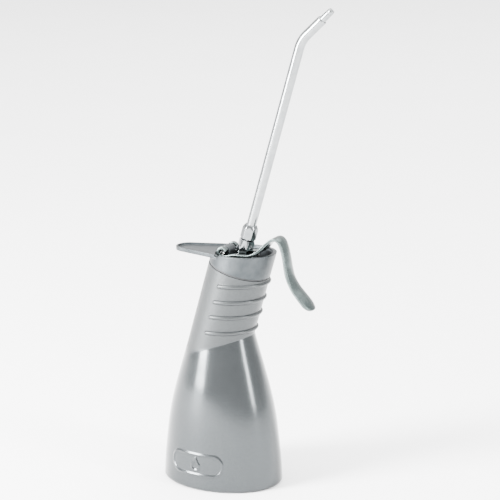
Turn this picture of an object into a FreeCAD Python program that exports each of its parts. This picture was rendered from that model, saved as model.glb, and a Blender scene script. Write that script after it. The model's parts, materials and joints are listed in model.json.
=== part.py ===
import FreeCAD, Part
import Sketcher
import math
import os
import re

# Hand pump oiler: an oval container with a leaning neck, a die-cast pump head with a hand
# rest, a squeeze lever, and a piston pump whose hollow rod carries the valve housing and spout.
# Origin: centre of the base, on the floor. +X points to the lever, -X to the hand rest, +Z up.
# The neck, pump and straight part of the spout share one axis, the pump axis, which leans
# towards +X. Parts on it are drawn upright in their own frame and placed with the lean:
# their own zero is where the pump axis crosses the head's flat top.

OUT = "parts"
HALF_TURN = 180

doc = FreeCAD.newDocument("pump_oiler")
V = FreeCAD.Vector

# ---------------------------------------------------------------- driving dimensions
# alias, value in mm (or degrees), what it is
DIMENSIONS = [
    ("neck_tilt", 15.78, "lean of the pump axis from the vertical, degrees"),
    ("top_height", 133.4, "height of the head's flat top"),
    ("axis_offset", 13.3, "X where the pump axis crosses the head's top"),
    ("neck_radius", 17.5, "outside radius of neck and head"),
    ("seam_depth", 10.4, "head's top to the container's rim, along the axis"),
    ("gasket_thick", 0.8, "head gasket"),
    ("wall", 1.6, "container wall"),
    ("floor_wall", 2.2, "container floor"),
    ("mouth_radius", 15.4, "container mouth, where the thread ring sits"),
    ("ring_bore", 13.9, "thread ring, inside"),
    ("ring_depth", 13.0, "thread ring length"),
    ("rib_radius", 1.15, "section of a grip rib"),
    ("rib_sink", 0.15, "rib centre line below the neck surface"),
    ("plug_radius", 13.8, "head's plug in the thread ring"),
    ("plug_end", 26.0, "head's top to the end of the plug"),
    ("pocket_radius", 15.2, "pocket in the head's top"),
    ("pocket_floor", 7.6, "head's top to the pocket floor, along the axis"),
    ("rest_reach", 33.8, "pump axis to the centre of the hand rest's round end"),
    ("rest_end_radius", 7.6, "round end of the hand rest"),
    ("rest_thick", 2.3, "hand rest plate"),
    ("rest_rim", 1.3, "raised rim of the hand rest"),
    ("rest_sink", 1.1, "floor of the hand rest below its rim"),
    ("pin_x", 3.3, "lever pivot, X"),
    ("pin_z", 133.4, "lever pivot, Z"),
    ("pin_radius", 1.5, "lever pivot pin"),
    ("pin_half", 7.8, "half length of the pivot pin"),
    ("lug_radius", 2.9, "lug round the pivot pin"),
    ("lug_half", 4.0, "half width of the lug"),
    ("sheet", 1.6, "lever sheet thickness"),
    ("rail_z", 132.3, "height of the lever's flat part, mid sheet"),
    ("rail_half", 8.2, "half width of the lever at the valve housing"),
    ("slot_half", 5.3, "half width of the lever's slot"),
    ("blade_half", 4.9, "half width of the lever's blade"),
    ("tip_half", 6.1, "half width of the lever's flared end"),
    ("eye_play", 0.05, "running clearance of lever eye on pin"),
    ("hex_flats", 8.0, "valve housing, across flats"),
    ("hex_top", 7.2, "top of the housing's hexagon above the head's top"),
    ("foot_radius", 4.6, "round foot of the valve housing"),
    ("foot_end", 5.2, "head's top to the end of the housing's foot"),
    ("stem_radius", 3.15, "threaded stem on top of the housing"),
    ("stem_top", 12.4, "top of the threaded stem above the head's top"),
    ("outlet_radius", 1.9, "chamber of the outlet valve"),
    ("outlet_floor", 1.9, "floor of that chamber above the head's top"),
    ("outlet_hole", 0.9, "hole under the outlet ball"),
    ("outlet_ball", 1.5, "ball of the outlet valve"),
    ("nut_flats", 7.8, "union nut, across flats"),
    ("nut_low", 7.6, "foot of the union nut above the head's top"),
    ("nut_shoulder", 13.4, "start of the union nut's sloping top"),
    ("nut_top", 16.2, "top of the union nut"),
    ("nut_turn", 14.0, "turn of the union nut's flats from the housing's, degrees"),
    ("stud_drop", 3.3, "trunnion studs below the head's top, along the axis"),
    ("stud_radius", 1.2, "trunnion stud"),
    ("stud_inner", 3.4, "pump axis to the inner end of a stud"),
    ("stud_outer", 8.0, "pump axis to the outer end of a stud"),
    ("rod_radius", 2.5, "piston rod"),
    ("rod_bore", 1.2, "oil way in the piston rod"),
    ("rod_play", 0.05, "running clearance of the rod in its guide"),
    ("rod_top", 1.4, "head's top to the rod's upper end"),
    ("rod_end", 31.0, "head's top to the rod's lower end"),
    ("rod_neck", 2.0, "thinner end of the rod that carries the piston"),
    ("piston_top", 22.0, "head's top to the piston"),
    ("piston_end", 27.0, "head's top to the piston's lower face"),
    ("piston_play", 0.15, "running clearance of the piston in the barrel"),
    ("groove_radius", 5.4, "floor of the piston's seal groove"),
    ("groove_top", 23.6, "head's top to the seal groove"),
    ("groove_end", 25.4, "head's top to the groove's lower side"),
    ("barrel_radius", 8.9, "pump barrel, outside"),
    ("barrel_bore", 7.0, "pump barrel, inside"),
    ("barrel_top", 18.0, "head's top to the barrel's upper end"),
    ("barrel_end", 55.0, "head's top to the barrel's lower end"),
    ("washer_thick", 0.8, "barrel washer"),
    ("valve_plug", 5.0, "foot valve inside the barrel"),
    ("valve_flange", 2.5, "foot valve's flange under the barrel"),
    ("valve_barb", 11.0, "barrel's end to the end of the hose barb"),
    ("inlet_hole", 1.0, "hole under the inlet ball"),
    ("inlet_radius", 2.7, "chamber of the inlet ball"),
    ("inlet_ball", 2.0, "ball of the foot valve"),
    ("dip_radius", 3.3, "dip tube, outside"),
    ("dip_bore", 2.4, "dip tube, inside"),
    ("dip_end", 127.0, "head's top to the end of the dip tube"),
    ("tube_radius", 2.7, "spout tube, outside"),
    ("tube_bore", 1.5, "spout tube, inside"),
    ("tube_foot", 12.8, "lower end of the spout tube above the head's top"),
    ("bend_height", 122.5, "corner of the spout's bend above the head's top"),
    ("bend_radius", 16.0, "bend of the spout, mid tube"),
    ("bend_angle", 30.6, "turn of the spout's bend, degrees"),
    ("bend_arm", 16.7, "corner of the bend to the end of the tube"),
    ("nozzle_out", 7.4, "nozzle in front of the tube's end"),
    ("nozzle_radius", 1.9, "nozzle, outside"),
    ("nozzle_in", 5.0, "nozzle's spigot inside the tube"),
    ("nozzle_bore", 0.6, "outlet, inside"),
    ("rivet_radius", 0.9, "shank of the stop rivet"),
]

sheet = doc.addObject("Spreadsheet::Sheet", "Dims")
size = {}
for row, (alias, value, note) in enumerate(DIMENSIONS, start=1):
    sheet.set("A%d" % row, alias)
    sheet.set("B%d" % row, str(value))
    sheet.set("C%d" % row, note)
    sheet.setAlias("B%d" % row, alias)
    size[alias] = value
doc.recompute()

TILT = math.radians(size["neck_tilt"])
AXIS_UP = V(math.sin(TILT), 0, math.cos(TILT))
finished = []


# ---------------------------------------------------------------- small helpers
def cell(text):
    """Turn words such as 'rod_radius + 1' into an expression on the sheet's cells."""
    return re.sub("[a-z_]+", lambda found: "Dims." + found[0] if found[0] in size else found[0], text)


def bind(obj, prop, text):
    obj.setExpression(prop, cell(text))


def lean(obj):
    """Put a part drawn upright on the leaning pump axis."""
    obj.Placement = FreeCAD.Placement(V(0, 0, 0), FreeCAD.Rotation(V(0, 1, 0), size["neck_tilt"]))
    bind(obj, "Placement.Base.x", "axis_offset")
    bind(obj, "Placement.Base.z", "top_height")
    bind(obj, "Placement.Rotation.Angle", "neck_tilt")


def finish(obj, label):
    obj.Label = label
    finished.append(obj)
    return obj


def cylinder(radius, low, high):
    part = doc.addObject("Part::Cylinder", "cyl")
    bind(part, "Radius", radius)
    bind(part, "Height", "(%s) - (%s)" % (high, low))
    bind(part, "Placement.Base.z", low)
    return part


def leaning_cylinder(radius, low, high):
    """Cylinder on the pump axis, for cutting or joining in the row's own frame."""
    part = cylinder(radius, low, high)
    part.Placement.Rotation = FreeCAD.Rotation(V(0, 1, 0), size["neck_tilt"])
    bind(part, "Placement.Base.x", "axis_offset + (%s) * sin(neck_tilt * 1deg)" % low)
    bind(part, "Placement.Base.z", "top_height + (%s) * cos(neck_tilt * 1deg)" % low)
    bind(part, "Placement.Rotation.Angle", "neck_tilt")
    return part


def cone(low_radius, high_radius, low, high):
    part = doc.addObject("Part::Cone", "cone")
    bind(part, "Radius1", low_radius)
    bind(part, "Radius2", high_radius)
    bind(part, "Height", "(%s) - (%s)" % (high, low))
    bind(part, "Placement.Base.z", low)
    return part


def hexagon(across_flats, low, high, turn=0):
    """Hexagonal prism on the local Z axis, measured across its flats."""
    part = doc.addObject("Part::Prism", "hexagon")
    part.Polygon = 6
    part.Placement = FreeCAD.Placement(V(0, 0, 0), FreeCAD.Rotation(V(0, 0, 1), turn))
    bind(part, "Circumradius", "(%s) / sqrt(3)" % across_flats)
    bind(part, "Height", "(%s) - (%s)" % (high, low))
    bind(part, "Placement.Base.z", low)
    return part


def ball(radius, height):
    part = doc.addObject("Part::Sphere", "ball")
    bind(part, "Radius", radius)
    bind(part, "Placement.Base.z", height)
    return part


def fuse(parts):
    if len(parts) == 1:
        return parts[0]
    joined = doc.addObject("Part::MultiFuse", "joined")
    joined.Shapes = parts
    joined.Refine = True
    return joined


def cut(solid, tools):
    result = doc.addObject("Part::Cut", "cut")
    result.Base = solid
    result.Tool = fuse(tools)
    return result


def common(one, other):
    result = doc.addObject("Part::Common", "common")
    result.Base = one
    result.Tool = other
    return result


def cross_cylinder(radius, x, z, low, high):
    """Cylinder lying along Y from low to high."""
    part = doc.addObject("Part::Cylinder", "cross")
    part.Placement = FreeCAD.Placement(V(0, 0, 0), FreeCAD.Rotation(V(1, 0, 0), -90))
    bind(part, "Radius", radius)
    bind(part, "Height", "(%s) - (%s)" % (high, low))
    bind(part, "Placement.Base.x", x)
    bind(part, "Placement.Base.y", low)
    bind(part, "Placement.Base.z", z)
    return part


def coil(label, wire, mean_radius, low, high, turns):
    """Coil spring on the local Z axis, its wire swept along a helix."""
    helix = doc.addObject("Part::Helix", label + "_helix")
    helix.Radius = mean_radius
    helix.Pitch = (high - low - 2 * wire) / turns
    helix.Height = high - low - 2 * wire
    helix.Placement.Base = V(0, 0, low + wire)
    section = doc.addObject("Part::Circle", label + "_section")
    section.Radius = wire
    section.Placement = FreeCAD.Placement(V(mean_radius, 0, low + wire), FreeCAD.Rotation(V(1, 0, 0), 90))
    spring = doc.addObject("Part::Sweep", label + "_wire")
    spring.Sections = [section]
    spring.Spine = (helix, ["Edge1"])
    spring.Solid = True
    spring.Frenet = True
    lean(spring)
    return finish(spring, label)


# ---------------------------------------------------------------- container
# Height, half length in X, half width in Y and middle in X of the body's oval sections.
BODY_SECTIONS = [
    (0.0, 34.9, 27.6, 0.0),
    (12.0, 34.2, 27.0, 0.0),
    (23.0, 33.1, 26.3, 0.0),
    (34.0, 31.8, 25.5, 0.0),
    (45.0, 29.8, 24.3, 0.0),
    (55.0, 27.3, 22.8, 0.0),
    (66.0, 24.2, 20.6, 0.0),
    (77.0, 21.0, 18.4, 0.0),
    (92.0, 17.6, 16.6, 1.2),
]
RIB_HEIGHTS = (116.6, 107.4, 98.6, 89.4)
RIB_END_ANGLE = 98
NECK_FOOT = 58.0
BASE_ROUND = 2.0


def oval_loft(inset, floor_height):
    """Smooth body through the oval sections, each drawn in by the inset."""
    sections = []
    for height, half_x, half_y, middle in BODY_SECTIONS:
        oval = doc.addObject("Part::Ellipse", "oval")
        bind(oval, "MajorRadius", "%g - %s" % (half_x, inset))
        bind(oval, "MinorRadius", "%g - %s" % (half_y, inset))
        bind(oval, "Placement.Base.x", "%g" % middle)
        bind(oval, "Placement.Base.z", floor_height if height == 0 else "%g" % height)
        sections.append(oval)
    loft = doc.addObject("Part::Loft", "body_loft")
    loft.Sections = sections
    loft.Solid = True
    return loft


def rib(height):
    """Half-round grip rib: a level arc round the neck's +X side, with round ends."""
    lean_x = size["axis_offset"] - (size["top_height"] - height) * math.tan(TILT)
    half_y = size["neck_radius"] - size["rib_sink"]
    half_x = size["neck_radius"] / math.cos(TILT) - size["rib_sink"]
    end = math.radians(RIB_END_ANGLE)
    spine = doc.addObject("Part::Ellipse", "rib_line")
    spine.MajorRadius = half_x
    spine.MinorRadius = half_y
    spine.Angle1 = HALF_TURN - RIB_END_ANGLE
    spine.Angle2 = HALF_TURN + RIB_END_ANGLE
    spine.Placement = FreeCAD.Placement(V(lean_x, 0, height), FreeCAD.Rotation(V(0, 0, 1), HALF_TURN))
    start = V(lean_x + half_x * math.cos(end), -half_y * math.sin(end), height)
    along = V(half_x * math.sin(end), half_y * math.cos(end), 0)
    section = doc.addObject("Part::Circle", "rib_section")
    bind(section, "Radius", "rib_radius")
    section.Placement = FreeCAD.Placement(start, FreeCAD.Rotation(V(0, 0, 1), along))
    bar = doc.addObject("Part::Sweep", "rib_bar")
    bar.Sections = [section]
    bar.Spine = (spine, ["Edge1"])
    bar.Solid = True
    bar.Frenet = True
    ends = []
    for side in (-1, 1):
        knob = doc.addObject("Part::Sphere", "rib_end")
        bind(knob, "Radius", "rib_radius")
        knob.Placement.Base = V(start.x, side * abs(start.y), height)
        ends.append(knob)
    return [bar] + ends


def make_container():
    neck = leaning_cylinder("neck_radius", "-%g" % NECK_FOOT, "-seam_depth")
    outside = [oval_loft("0", "0"), neck]
    for height in RIB_HEIGHTS:
        outside += rib(height)
    hollow = [
        oval_loft("wall", "floor_wall"),
        leaning_cylinder("neck_radius - 1.5 * wall", "-%g" % NECK_FOOT, "-( seam_depth + ring_depth )"),
        leaning_cylinder("mouth_radius", "-( seam_depth + ring_depth + 0.5 )", "1 - seam_depth"),
    ]
    shell = cut(fuse(outside), hollow)
    doc.recompute()
    rounded = doc.addObject("Part::Fillet", "base_round")
    rounded.Base = shell
    rounded.Edges = [(number, BASE_ROUND, BASE_ROUND)
                     for number, edge in enumerate(shell.Shape.Edges, start=1)
                     if edge.BoundBox.ZMax < 0.01]
    return finish(rounded, "container")


def make_neck_ring():
    ring = cut(cylinder("mouth_radius", "-( seam_depth + ring_depth )", "-( seam_depth + 0.1 )"),
               [cylinder("ring_bore", "-60", "0")])
    lean(ring)
    return finish(ring, "thread_ring")


def make_gasket():
    ring = cut(cylinder("neck_radius - 0.35", "-seam_depth", "gasket_thick - seam_depth"),
               [cylinder("ring_bore + 0.1", "-60", "0")])
    lean(ring)
    return finish(ring, "head_gasket")


# ---------------------------------------------------------------- pump head
REST_INSIDE = 0.4
LUG_FOOT = 6.5
TOP_CUT = 20.0
THROUGH = 30.0
GLAND_RADIUS = 6.0
GLAND_DEPTH = 5.4
SEAL_DEPTH = 2.0
SEAL_RADIUS = 4.6


def rest_outline(body, name, inset, height):
    """Outline of the hand rest seen from above: two arcs joined by straight tangents."""
    big = size["neck_radius"] - REST_INSIDE - inset
    small = size["rest_end_radius"] - inset
    big_centre = V(size["axis_offset"], 0, 0)
    small_centre = V(size["axis_offset"] - size["rest_reach"], 0, 0)
    swing = math.acos((big - small) / size["rest_reach"])
    sketch = body.newObject("Sketcher::SketchObject", name)
    sketch.AttachmentSupport = [(origin_plane(body, "XY_Plane"), "")]
    sketch.MapMode = "FlatFace"
    bind(sketch, "AttachmentOffset.Base.z", height)
    lift = V(0, 0, 1)
    neck_arc = Part.ArcOfCircle(Part.Circle(big_centre, lift, big), swing - math.pi, math.pi - swing)
    end_arc = Part.ArcOfCircle(Part.Circle(small_centre, lift, small), math.pi - swing, math.pi + swing)
    sketch.addGeometry(neck_arc)
    sketch.addGeometry(end_arc)
    for side in (-1, 1):
        reach = V(-math.cos(swing), side * math.sin(swing), 0)
        sketch.addGeometry(Part.LineSegment(big_centre + reach * big, small_centre + reach * small))
    return sketch


def origin_plane(body, role):
    return next(feature for feature in body.Origin.OriginFeatures if feature.Role == role)


def circle_sketch(body, name, radius, depth):
    """Circle square to the pump axis, at a depth below the head's top."""
    sketch = body.newObject("Sketcher::SketchObject", name)
    sketch.AttachmentSupport = [(origin_plane(body, "XY_Plane"), "")]
    sketch.MapMode = "FlatFace"
    sketch.AttachmentOffset.Rotation = FreeCAD.Rotation(V(0, 1, 0), size["neck_tilt"])
    bind(sketch, "AttachmentOffset.Base.x", "axis_offset - (%s) * sin(neck_tilt * 1deg)" % depth)
    bind(sketch, "AttachmentOffset.Base.z", "top_height - (%s) * cos(neck_tilt * 1deg)" % depth)
    bind(sketch, "AttachmentOffset.Rotation.Angle", "neck_tilt")
    sketch.addGeometry(Part.Circle(V(0, 0, 0), V(0, 0, 1), 5))
    ring = sketch.addConstraint(Sketcher.Constraint("Radius", 0, 5))
    sketch.renameConstraint(ring, "radius")
    bind(sketch, "Constraints.radius", radius)
    return sketch


def extrude(body, kind, name, sketch, length, backwards=False, both=False):
    feature = body.newObject("PartDesign::" + kind, name)
    feature.Profile = sketch
    bind(feature, "Length", length)
    feature.Reversed = backwards
    feature.Midplane = both
    return feature


def lug_sketch(body):
    """Side view of the lug: a round head on a foot that runs down into the pocket floor."""
    sketch = body.newObject("Sketcher::SketchObject", "lug_outline")
    sketch.AttachmentSupport = [(origin_plane(body, "XZ_Plane"), "")]
    sketch.MapMode = "FlatFace"
    pin = V(size["pin_x"], size["pin_z"], 0)
    round_head = size["lug_radius"]
    foot = size["top_height"] - LUG_FOOT
    right = pin + V(round_head, 0, 0)
    left = pin - V(round_head, 0, 0)
    low_right = V(right.x, foot, 0)
    low_left = V(left.x, foot, 0)
    sketch.addGeometry(Part.ArcOfCircle(Part.Circle(pin, V(0, 0, 1), round_head), 0, math.pi))
    for start, end in ((left, low_left), (low_left, low_right), (low_right, right)):
        sketch.addGeometry(Part.LineSegment(start, end))
    return sketch


def make_head():
    """Die-cast cap with a level top, hand rest, pocket for the lever, and bores for rod and barrel."""
    body = doc.addObject("PartDesign::Body", "pump_head_body")
    face = "seam_depth - gasket_thick"
    extrude(body, "Pad", "cap", circle_sketch(body, "cap_circle", "neck_radius", face), "%s + 8" % face)
    extrude(body, "Pocket", "flat_top", rest_cutter(body), "%g" % TOP_CUT, backwards=True)
    plate_line = rest_outline(body, "rest_line", 0, "top_height - rest_thick")
    extrude(body, "Pad", "rest_plate", plate_line, "rest_thick")
    floor_line = rest_outline(body, "rest_floor_line", size["rest_rim"], "top_height")
    extrude(body, "Pocket", "rest_floor", floor_line, "rest_sink")
    extrude(body, "Pad", "plug", circle_sketch(body, "plug_circle", "plug_radius", face),
            "plug_end - ( %s )" % face, backwards=True)
    extrude(body, "Pocket", "pocket", circle_sketch(body, "pocket_circle", "pocket_radius", "pocket_floor"),
            "%g" % THROUGH, backwards=True)
    extrude(body, "Pad", "lug", lug_sketch(body), "2 * lug_half", both=True)
    extrude(body, "Pocket", "gland_bore",
            circle_sketch(body, "gland_circle", "%g" % GLAND_RADIUS, "pocket_floor - 1"),
            "%g" % (GLAND_DEPTH + 1))
    extrude(body, "Pocket", "seal_bore",
            circle_sketch(body, "seal_circle", "%g" % SEAL_RADIUS, "pocket_floor + 1"),
            "%g" % (GLAND_DEPTH + SEAL_DEPTH - 1))
    extrude(body, "Pocket", "rod_hole",
            circle_sketch(body, "rod_circle", "rod_radius + 0.3", "pocket_floor"), "%g" % THROUGH)
    socket = circle_sketch(body, "barrel_circle", "barrel_radius", "barrel_top - washer_thick")
    extrude(body, "Pocket", "barrel_socket", socket, "%g" % THROUGH)
    extrude(body, "Pocket", "pin_hole", pin_circle(body), "4 * pin_half", both=True)
    return finish(body, "pump_head")


def pin_circle(body):
    sketch = body.newObject("Sketcher::SketchObject", "pin_circle")
    sketch.AttachmentSupport = [(origin_plane(body, "XZ_Plane"), "")]
    sketch.MapMode = "FlatFace"
    sketch.addGeometry(Part.Circle(V(size["pin_x"], size["pin_z"], 0), V(0, 0, 1), size["pin_radius"]))
    return sketch


def rest_cutter(body):
    """Level circle, wider than the head, that trims everything above the flat top."""
    sketch = body.newObject("Sketcher::SketchObject", "top_trim")
    sketch.AttachmentSupport = [(origin_plane(body, "XY_Plane"), "")]
    sketch.MapMode = "FlatFace"
    bind(sketch, "AttachmentOffset.Base.z", "top_height")
    sketch.addGeometry(Part.Circle(V(size["axis_offset"], 0, 0), V(0, 0, 1), 2 * size["neck_radius"]))
    return sketch


def make_pivot_pin():
    pin = cross_cylinder("pin_radius", "pin_x", "pin_z", "-pin_half", "pin_half")
    return finish(pin, "pivot_pin")


# ---------------------------------------------------------------- lever
# Mid-sheet line of the lever from the rail to its end, X and Z.
LEVER_LINE = [
    (12.0, 132.3), (15.5, 132.3), (19.0, 132.55), (22.4, 133.9), (25.4, 136.3), (28.3, 139.6),
    (31.2, 142.0), (34.0, 142.75), (36.6, 141.0), (38.6, 136.5), (39.9, 131.0), (40.8, 126.0),
    (42.3, 121.0), (45.3, 116.2), (49.0, 112.2), (52.4, 108.4), (54.6, 104.6),
]
LINE_STEPS = 40
RAIL_START = 5.0
SLOT_BEYOND_AXIS = 0.4
RIVET_X = 21.3
RIVET_Z = 133.5
RIVET_LEAN = -20
RIVET_TAIL = 5.6


def lever_side(body):
    """Closed side view of the bent sheet: the same curve offset to both sides."""
    sketch = body.newObject("Sketcher::SketchObject", "lever_side")
    sketch.AttachmentSupport = [(origin_plane(body, "XZ_Plane"), "")]
    sketch.MapMode = "FlatFace"
    middle = Part.BSplineCurve()
    middle.interpolate([V(x, z, 0) for x, z in LEVER_LINE])
    first, last = middle.FirstParameter, middle.LastParameter
    corners = []
    for side in (1, -1):
        points = []
        for step in range(LINE_STEPS + 1):
            at = first + (last - first) * step / LINE_STEPS
            along = middle.tangent(at)[0]
            points.append(middle.value(at) + V(-along.y, along.x, 0) * side * size["sheet"] / 2)
        curve = Part.BSplineCurve()
        curve.interpolate(points)
        sketch.addGeometry(curve)
        corners.append(points)
    top, under = corners
    rail_top = V(RAIL_START, top[0].y, 0)
    rail_under = V(RAIL_START, under[0].y, 0)
    tip_edge = (top[-1], under[-1])
    for start, end in ((top[0], rail_top), (rail_top, rail_under), (rail_under, under[0]), tip_edge):
        sketch.addGeometry(Part.LineSegment(start, end))
    return sketch


def half_width(points):
    """Smooth edge of the lever seen from above."""
    edge = Part.BSplineCurve()
    edge.interpolate([V(x, y, 0) for x, y in points])
    return edge


def trim_sketch(body, side):
    """Area beside the lever, seen from above, that is cut away on one side."""
    sketch = body.newObject("Sketcher::SketchObject", "trim_" + ("left" if side > 0 else "right"))
    sketch.AttachmentSupport = [(origin_plane(body, "XY_Plane"), "")]
    sketch.MapMode = "FlatFace"
    rail, blade, tip = size["rail_half"], size["blade_half"], size["tip_half"]
    edge = [(20.0, rail), (23.5, rail - 0.6), (27.0, blade + 1.3), (31.0, blade + 0.2), (36.0, blade),
            (41.0, blade), (45.0, blade + 0.5), (49.5, tip), (53.0, tip - 0.9), (54.9, 2.6), (55.5, 0.0)]
    outer = 12.0
    sketch.addGeometry(half_width([(x, side * y) for x, y in edge]))
    first = V(edge[0][0], side * edge[0][1], 0)
    last = V(edge[-1][0], 0, 0)
    beyond = V(last.x + 6, 0, 0)
    chain = [last, beyond, V(beyond.x, side * outer, 0), V(first.x, side * outer, 0), first]
    for start, end in zip(chain, chain[1:]):
        sketch.addGeometry(Part.LineSegment(start, end))
    return sketch


def slot_sketch(body):
    """Slot for the valve housing, open towards the pivot."""
    sketch = body.newObject("Sketcher::SketchObject", "slot_outline")
    sketch.AttachmentSupport = [(origin_plane(body, "XY_Plane"), "")]
    sketch.MapMode = "FlatFace"
    half = size["slot_half"]
    centre = V(size["axis_offset"] + SLOT_BEYOND_AXIS, 0, 0)
    sketch.addGeometry(Part.ArcOfCircle(Part.Circle(centre, V(0, 0, 1), half), -math.pi / 2, math.pi / 2))
    near, far = V(-5, -half, 0), V(-5, half, 0)
    for start, end in ((centre + V(0, half, 0), far), (far, near), (near, centre - V(0, half, 0))):
        sketch.addGeometry(Part.LineSegment(start, end))
    return sketch


def eye_sketch(body, radius, name):
    sketch = body.newObject("Sketcher::SketchObject", name)
    sketch.AttachmentSupport = [(origin_plane(body, "XZ_Plane"), "")]
    sketch.MapMode = "FlatFace"
    sketch.addGeometry(Part.Circle(V(size["pin_x"], size["pin_z"], 0), V(0, 0, 1), radius))
    return sketch


def make_lever():
    body = doc.addObject("PartDesign::Body", "lever_body")
    eye_bore = size["pin_radius"] + size["eye_play"]
    extrude(body, "Pad", "strap", lever_side(body), "2 * rail_half", both=True)
    eye_outline = eye_sketch(body, eye_bore + size["sheet"], "eye_outline")
    extrude(body, "Pad", "eyes", eye_outline, "2 * rail_half", both=True)
    for side in (-1, 1):
        cutter = extrude(body, "Pocket", "trim", trim_sketch(body, side), "400", both=True)
        cutter.Refine = True
    extrude(body, "Pocket", "slot", slot_sketch(body), "400", both=True)
    bore_outline = eye_sketch(body, eye_bore, "bore_outline")
    extrude(body, "Pocket", "eye_bore", bore_outline, "4 * rail_half", both=True)
    extrude(body, "Pocket", "rivet_hole", rivet_circle(body), "10", both=True)
    return finish(body, "lever")


def rivet_place():
    return FreeCAD.Placement(V(RIVET_X, 0, RIVET_Z), FreeCAD.Rotation(V(0, 1, 0), RIVET_LEAN))


def rivet_circle(body):
    """Hole for the stop rivet, square to the strap where the rivet stands."""
    sketch = body.newObject("Sketcher::SketchObject", "rivet_circle")
    sketch.AttachmentSupport = [(origin_plane(body, "XY_Plane"), "")]
    sketch.MapMode = "FlatFace"
    sketch.AttachmentOffset = rivet_place()
    sketch.addGeometry(Part.Circle(V(0, 0, 0), V(0, 0, 1), size["rivet_radius"]))
    return sketch


def make_rivet():
    """Round-headed rivet through the strap: its tail is a stop above the pocket floor."""
    head_radius = 1.9
    head_foot = 0.5
    shank = cylinder("rivet_radius", "-%g" % RIVET_TAIL, "%g" % head_foot)
    head = cut(ball("%g" % head_radius, "-0.35"), [cylinder("4", "-5", "%g" % head_foot)])
    rivet = fuse([shank, head])
    rivet.Placement = rivet_place()
    return finish(rivet, "stop_rivet")


# ---------------------------------------------------------------- valve housing and spout
def make_housing():
    """Round foot with the studs, hexagon, threaded stem; the outlet valve's chamber is bored in it."""
    chamfer_foot = "hex_top - 0.9"
    outside = [
        cylinder("foot_radius", "-foot_end", "-0.9"),
        hexagon("hex_flats", "-1", "hex_top"),
        cylinder("stem_radius", "hex_top", "stem_top"),
    ]
    shaped = common(fuse(outside), fuse([
        cone("foot_radius + 0.3", "foot_radius - 0.6", chamfer_foot, "hex_top + 0.01"),
        cylinder("foot_radius + 0.3", "-( foot_end + 1 )", chamfer_foot),
        cylinder("stem_radius + 0.05", "hex_top", "stem_top + 1"),
    ]))
    stud_bores = [cross_cylinder("stud_radius", "0", "-stud_drop", "-( stud_outer + 1 )", "-stud_inner"),
                  cross_cylinder("stud_radius", "0", "-stud_drop", "stud_inner", "stud_outer + 1")]
    ways = [cylinder("rod_radius", "-( foot_end + 1 )", "-rod_top"), cylinder("outlet_hole", "-2", "2"),
            cone("outlet_hole", "outlet_radius", "1", "outlet_floor"),
            cylinder("outlet_radius", "outlet_floor", "stem_top + 1")]
    housing = cut(shaped, ways + stud_bores)
    lean(housing)
    return finish(housing, "valve_housing")


def make_studs():
    studs = fuse([cross_cylinder("stud_radius", "0", "-stud_drop", "-stud_outer", "-stud_inner"),
                  cross_cylinder("stud_radius", "0", "-stud_drop", "stud_inner", "stud_outer")])
    lean(studs)
    return finish(studs, "trunnion_studs")


def make_union_nut():
    """Cap nut that holds the spout's ferrule on the housing and lets the spout be turned."""
    lower_bevel_top = "nut_low + 0.7"
    envelope = fuse([cone("4.0", "4.7", "nut_low", lower_bevel_top),
                     cylinder("4.7", lower_bevel_top, "nut_shoulder"),
                     cone("5.2", "3.4", "nut_shoulder", "nut_top")])
    outside = common(hexagon("nut_flats", "nut_low", "nut_top", size["nut_turn"]), envelope)
    nut = cut(outside, [cylinder("stem_radius + 0.05", "nut_low - 1", "tube_foot + 1.5"),
                        cylinder("tube_radius + 0.05", "nut_low - 1", "nut_top + 1")])
    lean(nut)
    return finish(nut, "union_nut")


def make_ferrule():
    ring = cut(cone("stem_radius", "stem_radius - 0.2", "tube_foot", "tube_foot + 1.4"),
               [cylinder("tube_radius", "tube_foot - 1", "tube_foot + 2")])
    lean(ring)
    return finish(ring, "spout_ferrule")


def spout_line(name, low, high):
    """Mid line of the spout: straight, one bend, straight again, in the local XZ plane."""
    turn = math.radians(size["bend_angle"])
    radius = size["bend_radius"]
    tangent = radius * math.tan(turn / 2)
    corner = V(0, 0, size["bend_height"])
    out = V(math.sin(turn), 0, math.cos(turn))
    start_bend = corner - V(0, 0, tangent)
    end_bend = corner + out * tangent
    centre = start_bend + V(radius, 0, 0)
    middle = centre + V(-math.cos(turn / 2), 0, math.sin(turn / 2)) * radius
    line = doc.addObject("Part::Feature", name)
    line.Shape = Part.Wire([
        Part.makeLine(V(0, 0, low), start_bend),
        Part.Arc(start_bend, middle, end_bend).toShape(),
        Part.makeLine(end_bend, corner + out * high),
    ])
    return line


def swept_round(radius, low, high):
    section = doc.addObject("Part::Circle", "tube_section")
    bind(section, "Radius", radius)
    section.Placement.Base = V(0, 0, low)
    sweep = doc.addObject("Part::Sweep", "tube_sweep")
    line = spout_line("tube_line", low, high)
    sweep.Sections = [section]
    sweep.Spine = (line, ["Edge1", "Edge2", "Edge3"])
    sweep.Solid = True
    return sweep


def make_spout_tube():
    tube = cut(swept_round("tube_radius", size["tube_foot"], size["bend_arm"]),
               [swept_round("tube_bore", size["tube_foot"] - 1, size["bend_arm"] + 1)])
    lean(tube)
    return finish(tube, "spout_tube")


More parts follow.
